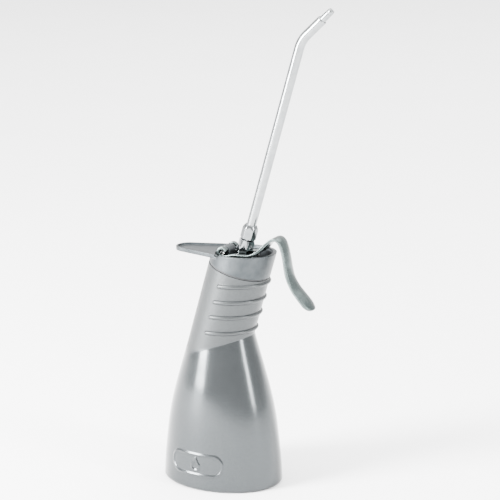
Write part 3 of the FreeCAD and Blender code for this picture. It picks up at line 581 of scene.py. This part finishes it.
def make_nozzle(end_point):
    """Turned nozzle: a spigot in the tube's end and a grooved tip."""
    spigot = [(0.6, -5.0), (SPOUT_BORE, -5.0), (SPOUT_BORE, -0.3)]
    tip = [(2.0, 0.0), (1.95, 2.5), (1.88, 5.0), (1.68, 5.12), (1.68, 5.4), (1.87, 5.52), (1.84, 6.5),
           (1.5, 7.3), (0.95, 7.4), (0.6, 7.0)]
    place = PUMP_FRAME @ Matrix.Translation(Vector(end_point) * MM) @ Matrix.Rotation(BEND_ANGLE, 4, "Y")
    turned("nozzle_bright", rounded(spigot + tip, 0.15), "spout", "nozzle_plate", ["spout_nozzle"],
           place=place, columns=48)


# ---------------------------------------------------------------- lever and head
EYE_MIDDLE = 2.35       # radius of the rolled eyes at the middle of the sheet
EYE_POINTS = 40
SHEET = 1.6
EDGE_ROUND = 0.38
SLOT_HALF = 5.3
SLOT_CENTRE_X = 13.7
# Mid-sheet line of the lever after its rolled eyes, X and Z.
LEVER_LINE = [
    (3.3, 131.05), (5.4, 131.1), (8.6, 131.9), (12.0, 132.3), (15.5, 132.3), (19.0, 132.55),
    (22.4, 133.9), (25.4, 136.3), (28.3, 139.6), (31.2, 142.0), (34.0, 142.75), (36.6, 141.0),
    (38.6, 136.5), (39.9, 131.0), (40.8, 126.0), (42.3, 121.0), (45.3, 116.2), (49.0, 112.2),
    (52.4, 108.4), (54.9, 104.4),
]
# Half width of the lever by X; the first is at the free edge of the eyes.
LEVER_WIDTHS = [(0.0, 8.2), (20.0, 8.2), (23.5, 7.6), (27.0, 6.2), (31.0, 5.1), (36.0, 4.9), (40.6, 4.9),
                (43.0, 5.2), (46.5, 5.8), (49.5, 6.1)]
TIP_ROUND = 5.6
SLICE_STEP = 0.55       # the flat pattern is cut this finely, so that it bends smoothly
BLADE_START = 31.0      # X where the finger blade begins to be dished
DISH = 1.0


def smooth_line(points, steps=12):
    """Points of a Catmull-Rom curve through the given points."""
    points = [np.array(p, float) for p in points]
    points = [2 * points[0] - points[1]] + points + [2 * points[-1] - points[-2]]
    line = []
    for a, b, c, d in zip(points, points[1:], points[2:], points[3:]):
        for step in range(steps):
            t = step / steps
            line.append(0.5 * (2 * b + (c - a) * t + (2 * a - 5 * b + 4 * c - d) * t * t
                               + (3 * b - a - 3 * c + d) * t ** 3))
    line.append(points[-2])
    return line


def lever_line():
    """Middle line of the bent sheet, from the rolled eyes to the tip, and its length up to each point."""
    curl = [PIVOT + EYE_MIDDLE * np.array([math.cos(a), math.sin(a)])
            for a in np.radians(np.linspace(20, 264, EYE_POINTS))]
    line = np.array(curl + smooth_line(LEVER_LINE))
    reach = np.concatenate([[0], np.cumsum(np.linalg.norm(np.diff(line, axis=0), axis=1))])
    return line, reach


def lever_outline(reach_at, total):
    """Flat pattern of the lever: distance along the sheet against half width, with the open slot."""
    widths = [(reach_at(x) if x else 0.0, half) for x, half in LEVER_WIDTHS]
    upper = resample(widths, total - TIP_ROUND)
    widest = upper[-1][1]
    tip = [(total - TIP_ROUND + TIP_ROUND * math.sin(a), widest * math.cos(a) ** 0.9)
           for a in np.radians(np.arange(8, 90, 8))] + [(total, 0.0)]
    side = upper + tip
    slot_middle = reach_at(SLOT_CENTRE_X)
    slot = [(slot_middle + SLOT_HALF * math.cos(a), SLOT_HALF * math.sin(a))
            for a in np.radians(np.arange(-90, 91, 9))]
    mirrored = [(u, -v) for u, v in reversed(side[:-1])]
    return [(0.0, SLOT_HALF)] + side + mirrored + [(0.0, -SLOT_HALF)] + slot


def resample(pairs, last):
    """Distance and half width at even steps up to last, read smoothly from the pairs."""
    distances, halves = np.array(pairs).T
    at = np.linspace(0, last, 90)
    return list(zip(at, curve_through(distances, halves, np.clip(at, distances[0], distances[-1]))))


def lever_pattern(outline):
    """Mesh of the flat lever: the outline filled to the sheet's thickness, with rounded edges."""
    curve = bpy.data.curves.new("lever_pattern", "CURVE")
    curve.dimensions = "2D"
    curve.fill_mode = "BOTH"
    curve.extrude = SHEET / 2 - EDGE_ROUND
    curve.bevel_depth = EDGE_ROUND
    curve.bevel_resolution = 3
    curve.offset = -EDGE_ROUND
    spline = curve.splines.new("POLY")
    spline.points.add(len(outline) - 1)
    for point, (u, v) in zip(spline.points, outline):
        point.co = (u, v, 0, 1)
    spline.use_cyclic_u = True
    pattern = bpy.data.objects.new("lever_pattern", curve)
    bpy.context.scene.collection.objects.link(pattern)
    depsgraph = bpy.context.evaluated_depsgraph_get()
    flat = bpy.data.meshes.new_from_object(pattern.evaluated_get(depsgraph))
    bpy.data.objects.remove(pattern)
    return flat


def make_lever():
    """Lever: its flat pattern sliced finely and bent along the lever line."""
    line, reach = lever_line()
    total = reach[-1]

    def reach_at(x):
        return float(np.interp(x, line[EYE_POINTS:, 0], reach[EYE_POINTS:]))

    work = bmesh.new()
    work.from_mesh(lever_pattern(lever_outline(reach_at, total)))
    bmesh.ops.remove_doubles(work, verts=work.verts, dist=1e-4)
    for u in np.arange(0.4, total, SLICE_STEP):
        slice_mesh(work, (u, 0, 0), (1, 0, 0))
    for v in (-4.2, -3.2, -2.1, -1.0, 0.0, 1.0, 2.1, 3.2, 4.2):
        slice_mesh(work, (0, v, 0), (0, 1, 0))
    for vert in work.verts:
        vert.co = bent(line, reach, *vert.co)
    mesh = bpy.data.meshes.new("lever_strap")
    work.to_mesh(mesh)
    work.free()
    mesh.transform(Matrix.Scale(MM, 4))
    mesh.shade_smooth()
    mesh.set_sharp_from_angle(angle=math.radians(50))
    add_piece("lever_strap", mesh, "lever", "lever_steel", ["lever"])


def slice_mesh(work, place, across):
    everything = work.verts[:] + work.edges[:] + work.faces[:]
    bmesh.ops.bisect_plane(work, geom=everything, plane_co=place, plane_no=across, dist=1e-5)


def bent(line, reach, u, v, w):
    """Point of the flat pattern carried onto the bent sheet; the finger blade is dished."""
    def at(distance):
        return np.array([np.interp(distance, reach, line[:, 0]), np.interp(distance, reach, line[:, 1])])

    u = min(max(u, 0.0), reach[-1])
    x, z = at(u)
    along = at(min(u + 0.6, reach[-1])) - at(max(u - 0.6, 0.0))
    along /= np.linalg.norm(along)
    dished = min(max((x - BLADE_START) / 8.0, 0.0), 1.0)
    w -= DISH * dished * min((v / 5.0) ** 2, 1.6)
    return Vector((x - along[1] * w, v, z + along[0] * w))


def make_head():
    refined("pump_head", "head_casting_body", "head", "head_casting", 0.26, 4)


# ---------------------------------------------------------------- materials
def new_material(name, colour, metallic, roughness):
    """Material with its shader, and the object-space coordinates that its textures use."""
    material = bpy.data.materials.new(name)
    material.use_nodes = True
    nodes, links = material.node_tree.nodes, material.node_tree.links
    shader = nodes["Principled BSDF"]
    shader.inputs["Base Color"].default_value = (*colour, 1)
    shader.inputs["Metallic"].default_value = metallic
    shader.inputs["Roughness"].default_value = roughness
    where = nodes.new("ShaderNodeTexCoord")
    return material, nodes, links, shader, where


def noise(nodes, links, where, scale, detail=4.0, stretch=None):
    """Noise in object space; stretch draws it out along an axis, for drawn or brushed metal."""
    texture = nodes.new("ShaderNodeTexNoise")
    texture.inputs["Scale"].default_value = scale
    texture.inputs["Detail"].default_value = detail
    if stretch:
        mapping = nodes.new("ShaderNodeMapping")
        mapping.inputs["Scale"].default_value = stretch
        mapping.inputs["Rotation"].default_value = (0, -TILT, 0)
        links.new(where.outputs["Object"], mapping.inputs["Vector"])
        links.new(mapping.outputs["Vector"], texture.inputs["Vector"])
    else:
        links.new(where.outputs["Object"], texture.inputs["Vector"])
    return texture.outputs["Fac"]


def ranged(nodes, links, source, low, high, start=0.3, end=0.7):
    """A texture value turned into the range from low to high."""
    node = nodes.new("ShaderNodeMapRange")
    node.inputs["From Min"].default_value = start
    node.inputs["From Max"].default_value = end
    node.inputs["To Min"].default_value = low
    node.inputs["To Max"].default_value = high
    links.new(source, node.inputs["Value"])
    return node.outputs["Result"]


def tinted(nodes, links, source, dark, light, start=0.3, end=0.7):
    """A texture value turned into a colour between two tones."""
    node = nodes.new("ShaderNodeValToRGB")
    node.color_ramp.elements[0].position = start
    node.color_ramp.elements[0].color = (*dark, 1)
    node.color_ramp.elements[1].position = end
    node.color_ramp.elements[1].color = (*light, 1)
    links.new(source, node.inputs["Fac"])
    return node.outputs["Color"]


def bumped(nodes, links, shader, sources, distance):
    """Stack of fine reliefs: (height texture, strength) one on the other."""
    previous = None
    for source, strength in sources:
        bump = nodes.new("ShaderNodeBump")
        bump.inputs["Strength"].default_value = strength
        bump.inputs["Distance"].default_value = distance
        links.new(source, bump.inputs["Height"])
        if previous:
            links.new(previous, bump.inputs["Normal"])
        previous = bump.outputs["Normal"]
    links.new(previous, shader.inputs["Normal"])


# Dark and light tone of each mottled finish.
BODY_TONES = ((0.030, 0.034, 0.036), (0.068, 0.074, 0.077))
SLEEVE_TONES = ((0.034, 0.037, 0.038), (0.066, 0.071, 0.073))
CASTING_TONES = ((0.032, 0.037, 0.040), (0.058, 0.065, 0.069))
FLOOR_TONES = ((0.93, 0.93, 0.93), (0.95, 0.95, 0.95))
BODY_GLOSS = (0.16, 0.22)
SLEEVE_MATT = 0.24      # roughness that the sleeve has above the body's
DRAWN = (1.0, 1.0, 0.03)
# Slot: name, dark and light tone, lowest and highest roughness, grain scale, relief, and for drawn tube
# the stretch of the grain and the anisotropy.
METALS = {
    "lever_steel": ("zinc_plated_sheet", (0.068, 0.085, 0.084), (0.10, 0.122, 0.12), 0.22, 0.30, 1500, 0.03),
    "nut_plate": ("bright_nut", (0.13, 0.14, 0.145), (0.20, 0.21, 0.215), 0.08, 0.14, 1800, 0.02),
    "spout_plate": ("bright_pipe", (0.20, 0.21, 0.215), (0.29, 0.30, 0.305), 0.14, 0.22, 2200, 0.04,
                    DRAWN, 0.2),
    "nozzle_plate": ("bright_nozzle", (0.17, 0.18, 0.185), (0.26, 0.27, 0.275), 0.12, 0.20, 2400, 0.02),
    "pin_steel": ("pin_plate", (0.16, 0.165, 0.165), (0.26, 0.265, 0.265), 0.16, 0.28, 2000, 0.04),
    "ball_steel": ("ball_polish", (0.26, 0.27, 0.28), (0.36, 0.37, 0.38), 0.05, 0.12, 2000, 0.01),
    "barrel_steel": ("drawn_tube", (0.15, 0.155, 0.16), (0.23, 0.235, 0.24), 0.20, 0.32, 1500, 0.06, DRAWN),
    "rod_steel": ("ground_rod", (0.20, 0.205, 0.21), (0.29, 0.295, 0.30), 0.15, 0.25, 2600, 0.03),
    "spring_steel": ("spring_wire", (0.12, 0.125, 0.13), (0.20, 0.205, 0.21), 0.22, 0.36, 2400, 0.05),
    "turned_brass": ("turned_brass_skin", (0.24, 0.155, 0.055), (0.36, 0.25, 0.11), 0.18, 0.34, 1500, 0.06),
    "ring_brass": ("ring_brass_skin", (0.22, 0.14, 0.05), (0.33, 0.225, 0.10), 0.22, 0.38, 1500, 0.06),
}
# Slot: name, dark and light tone, roughness, grain scale, and how much light a clear plastic lets through.
SOFTS = {
    "black_rubber": ("black_rubber_skin", (0.010, 0.010, 0.011), (0.030, 0.030, 0.032), 0.62, 1800),
    "clear_tube": ("natural_tube", (0.40, 0.42, 0.37), (0.52, 0.54, 0.49), 0.35, 500, 0.35),
    "strainer_plastic": ("natural_cap", (0.36, 0.37, 0.32), (0.48, 0.49, 0.44), 0.45, 900),
}


def silver_plastic():
    """Moulded plastic with silver flake: a matt ribbed sleeve over a satin, slightly coated body."""
    material, nodes, links, shader, where = new_material("silver_plastic", (0.30, 0.32, 0.33), 0.85, 0.34)
    flake = noise(nodes, links, where, 4200, 2)
    cloud = noise(nodes, links, where, 45, 4)
    peel = noise(nodes, links, where, 700, 3)
    sleeve = nodes.new("ShaderNodeAttribute")
    sleeve.attribute_name = "sleeve"
    tone = nodes.new("ShaderNodeMixRGB")
    links.new(sleeve.outputs["Fac"], tone.inputs["Fac"])
    links.new(tinted(nodes, links, flake, *BODY_TONES), tone.inputs["Color1"])
    links.new(tinted(nodes, links, flake, *SLEEVE_TONES), tone.inputs["Color2"])
    links.new(tone.outputs["Color"], shader.inputs["Base Color"])
    matt = nodes.new("ShaderNodeMath")
    matt.operation = "MULTIPLY_ADD"
    matt.inputs[1].default_value = SLEEVE_MATT
    links.new(sleeve.outputs["Fac"], matt.inputs[0])
    links.new(ranged(nodes, links, cloud, *BODY_GLOSS), matt.inputs[2])
    links.new(matt.outputs["Value"], shader.inputs["Roughness"])
    shader.inputs["Coat Weight"].default_value = 0.1
    shader.inputs["Coat Roughness"].default_value = 0.1
    bumped(nodes, links, shader, [(flake, 0.03), (peel, 0.03)], 0.0002)
    return material


def zinc_casting():
    """Grey die casting, lightly blasted, with a cloudy tone."""
    material, nodes, links, shader, where = new_material("zinc_casting", (0.30, 0.32, 0.33), 0.85, 0.42)
    grain = noise(nodes, links, where, 2600, 6)
    cloud = noise(nodes, links, where, 140, 5)
    links.new(tinted(nodes, links, cloud, *CASTING_TONES), shader.inputs["Base Color"])
    links.new(ranged(nodes, links, grain, 0.34, 0.50), shader.inputs["Roughness"])
    bumped(nodes, links, shader, [(grain, 0.10), (cloud, 0.15)], 0.0003)
    return material


def plated(name, dark, light, rough_low, rough_high, grain_scale, bump, stretch=None, anisotropy=0.0):
    """Plated or turned metal: streaky tone and gloss, with fine working marks."""
    material, nodes, links, shader, where = new_material(name, light, 1.0, rough_low)
    grain = noise(nodes, links, where, grain_scale, 5, stretch)
    cloud = noise(nodes, links, where, 320, 5)
    links.new(tinted(nodes, links, cloud, dark, light, 0.2, 0.8), shader.inputs["Base Color"])
    links.new(ranged(nodes, links, grain, rough_low, rough_high, 0.2, 0.8), shader.inputs["Roughness"])
    shader.inputs["Anisotropic"].default_value = anisotropy
    bumped(nodes, links, shader, [(grain, bump)], 0.0001)
    return material


def plain_soft(name, dark, light, roughness, scale, transmission=0.0):
    """Rubber or natural plastic with a mottled tone and a matt grain."""
    material, nodes, links, shader, where = new_material(name, light, 0.0, roughness)
    grain = noise(nodes, links, where, scale, 4)
    links.new(tinted(nodes, links, grain, dark, light), shader.inputs["Base Color"])
    links.new(ranged(nodes, links, grain, roughness - 0.08, roughness + 0.08), shader.inputs["Roughness"])
    shader.inputs["Transmission Weight"].default_value = transmission
    bumped(nodes, links, shader, [(grain, 0.08)], 0.0002)
    return material


def make_materials():
    """One finish for each material slot of the part."""
    finishes = {"container_shell": silver_plastic(), "head_casting": zinc_casting()}
    for slot, row in METALS.items():
        finishes[slot] = plated(*row)
    for slot, row in SOFTS.items():
        finishes[slot] = plain_soft(*row)
    return finishes


def paint(materials):
    """Each shown piece takes the finish of its slot."""
    node_slots = {row["node"]: row["material_slot"] for row in frame["record"]["subparts"]}
    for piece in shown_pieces():
        slot = piece.get("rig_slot") or node_slots[piece["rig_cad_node"]]
        piece.data.materials.clear()
        piece.data.materials.append(materials[slot])


# ---------------------------------------------------------------- stage
LIGHT_AIM = (0.01, 0, 0.13)
FLOOR_HALF = 4.0
AIR_STRENGTH = 2.2


def area_light(name, place, aim, width, height, power):
    """Rectangular light in metres and watts, turned to its aim."""
    light = bpy.data.lights.new(name, "AREA")
    light.shape = "RECTANGLE"
    light.size, light.size_y = width, height
    light.energy = power
    lamp = bpy.data.objects.new(name, light)
    lamp.location = place
    lamp.rotation_mode = "QUATERNION"
    lamp.rotation_quaternion = (Vector(aim) - Vector(place)).to_track_quat("-Z", "Y")
    bpy.context.scene.collection.objects.link(lamp)


def studio_floor_material():
    """Plain pale floor with a faint mottle."""
    material, nodes, links, shader, where = new_material("studio_floor", (0.95, 0.95, 0.95), 0.0, 0.8)
    mottle = noise(nodes, links, where, 6, 3)
    links.new(tinted(nodes, links, mottle, *FLOOR_TONES), shader.inputs["Base Color"])
    return material


def make_stage():
    """Pale floor, even air light, two tall softboxes in front and a broad ceiling light behind."""
    mesh = bpy.data.meshes.new("studio_floor")
    corners = [(x * FLOOR_HALF, y * FLOOR_HALF, 0) for x, y in ((-1, -1), (1, -1), (1, 1), (-1, 1))]
    mesh.from_pydata(corners, [], [(0, 1, 2, 3)])
    floor = bpy.data.objects.new("studio_floor", mesh)
    bpy.context.scene.collection.objects.link(floor)
    floor.data.materials.append(studio_floor_material())
    world = bpy.data.worlds.new("studio_air")
    world.use_nodes = True
    air = world.node_tree.nodes["Background"]
    air.inputs["Color"].default_value = (1, 1, 1, 1)
    air.inputs["Strength"].default_value = AIR_STRENGTH
    bpy.context.scene.world = world
    area_light("softbox_left", (-0.69, -0.82, 0.54), LIGHT_AIM, 0.40, 0.95, 135)
    area_light("softbox_right", (0.95, -0.15, 0.48), LIGHT_AIM, 0.13, 0.8, 18)
    area_light("ceiling", (0.0, 0.9, 2.3), (0, 0.9, 0), 3.6, 3.6, 260)


# Camera: turned from the front towards +X, and raised; distance and aim in metres.
CAMERA_AZIMUTH = math.radians(24.954)
CAMERA_ELEVATION = math.radians(13.654)
CAMERA_DISTANCE = 0.98262
CAMERA_AIM = Vector((0.016738, 0.0, 0.134381))
CAMERA_LENS = 128.63


def make_camera():
    """Camera at the viewing angle, aimed at the middle of the oiler."""
    camera = bpy.data.objects.new("camera", bpy.data.cameras.new("camera"))
    bpy.context.scene.collection.objects.link(camera)
    back = Vector((math.sin(CAMERA_AZIMUTH) * math.cos(CAMERA_ELEVATION),
                   -math.cos(CAMERA_AZIMUTH) * math.cos(CAMERA_ELEVATION), math.sin(CAMERA_ELEVATION)))
    camera.location = CAMERA_AIM + back * CAMERA_DISTANCE
    camera.rotation_mode = "QUATERNION"
    camera.rotation_quaternion = (-back).to_track_quat("-Z", "Y")
    camera.data.sensor_width = 36.0
    camera.data.lens = CAMERA_LENS
    bpy.context.scene.camera = camera


# ---------------------------------------------------------------- build
make_container()
make_container_ring()
make_gasket()
make_barrel()
make_dip_tube()
make_rod_guide()
make_pivot_pin()
make_trunnion_studs()
make_rivet()
make_valve_housing()
make_union_nut()
make_nozzle(make_spout())
make_lever()
make_head()
paint(make_materials())
make_stage()
make_camera()
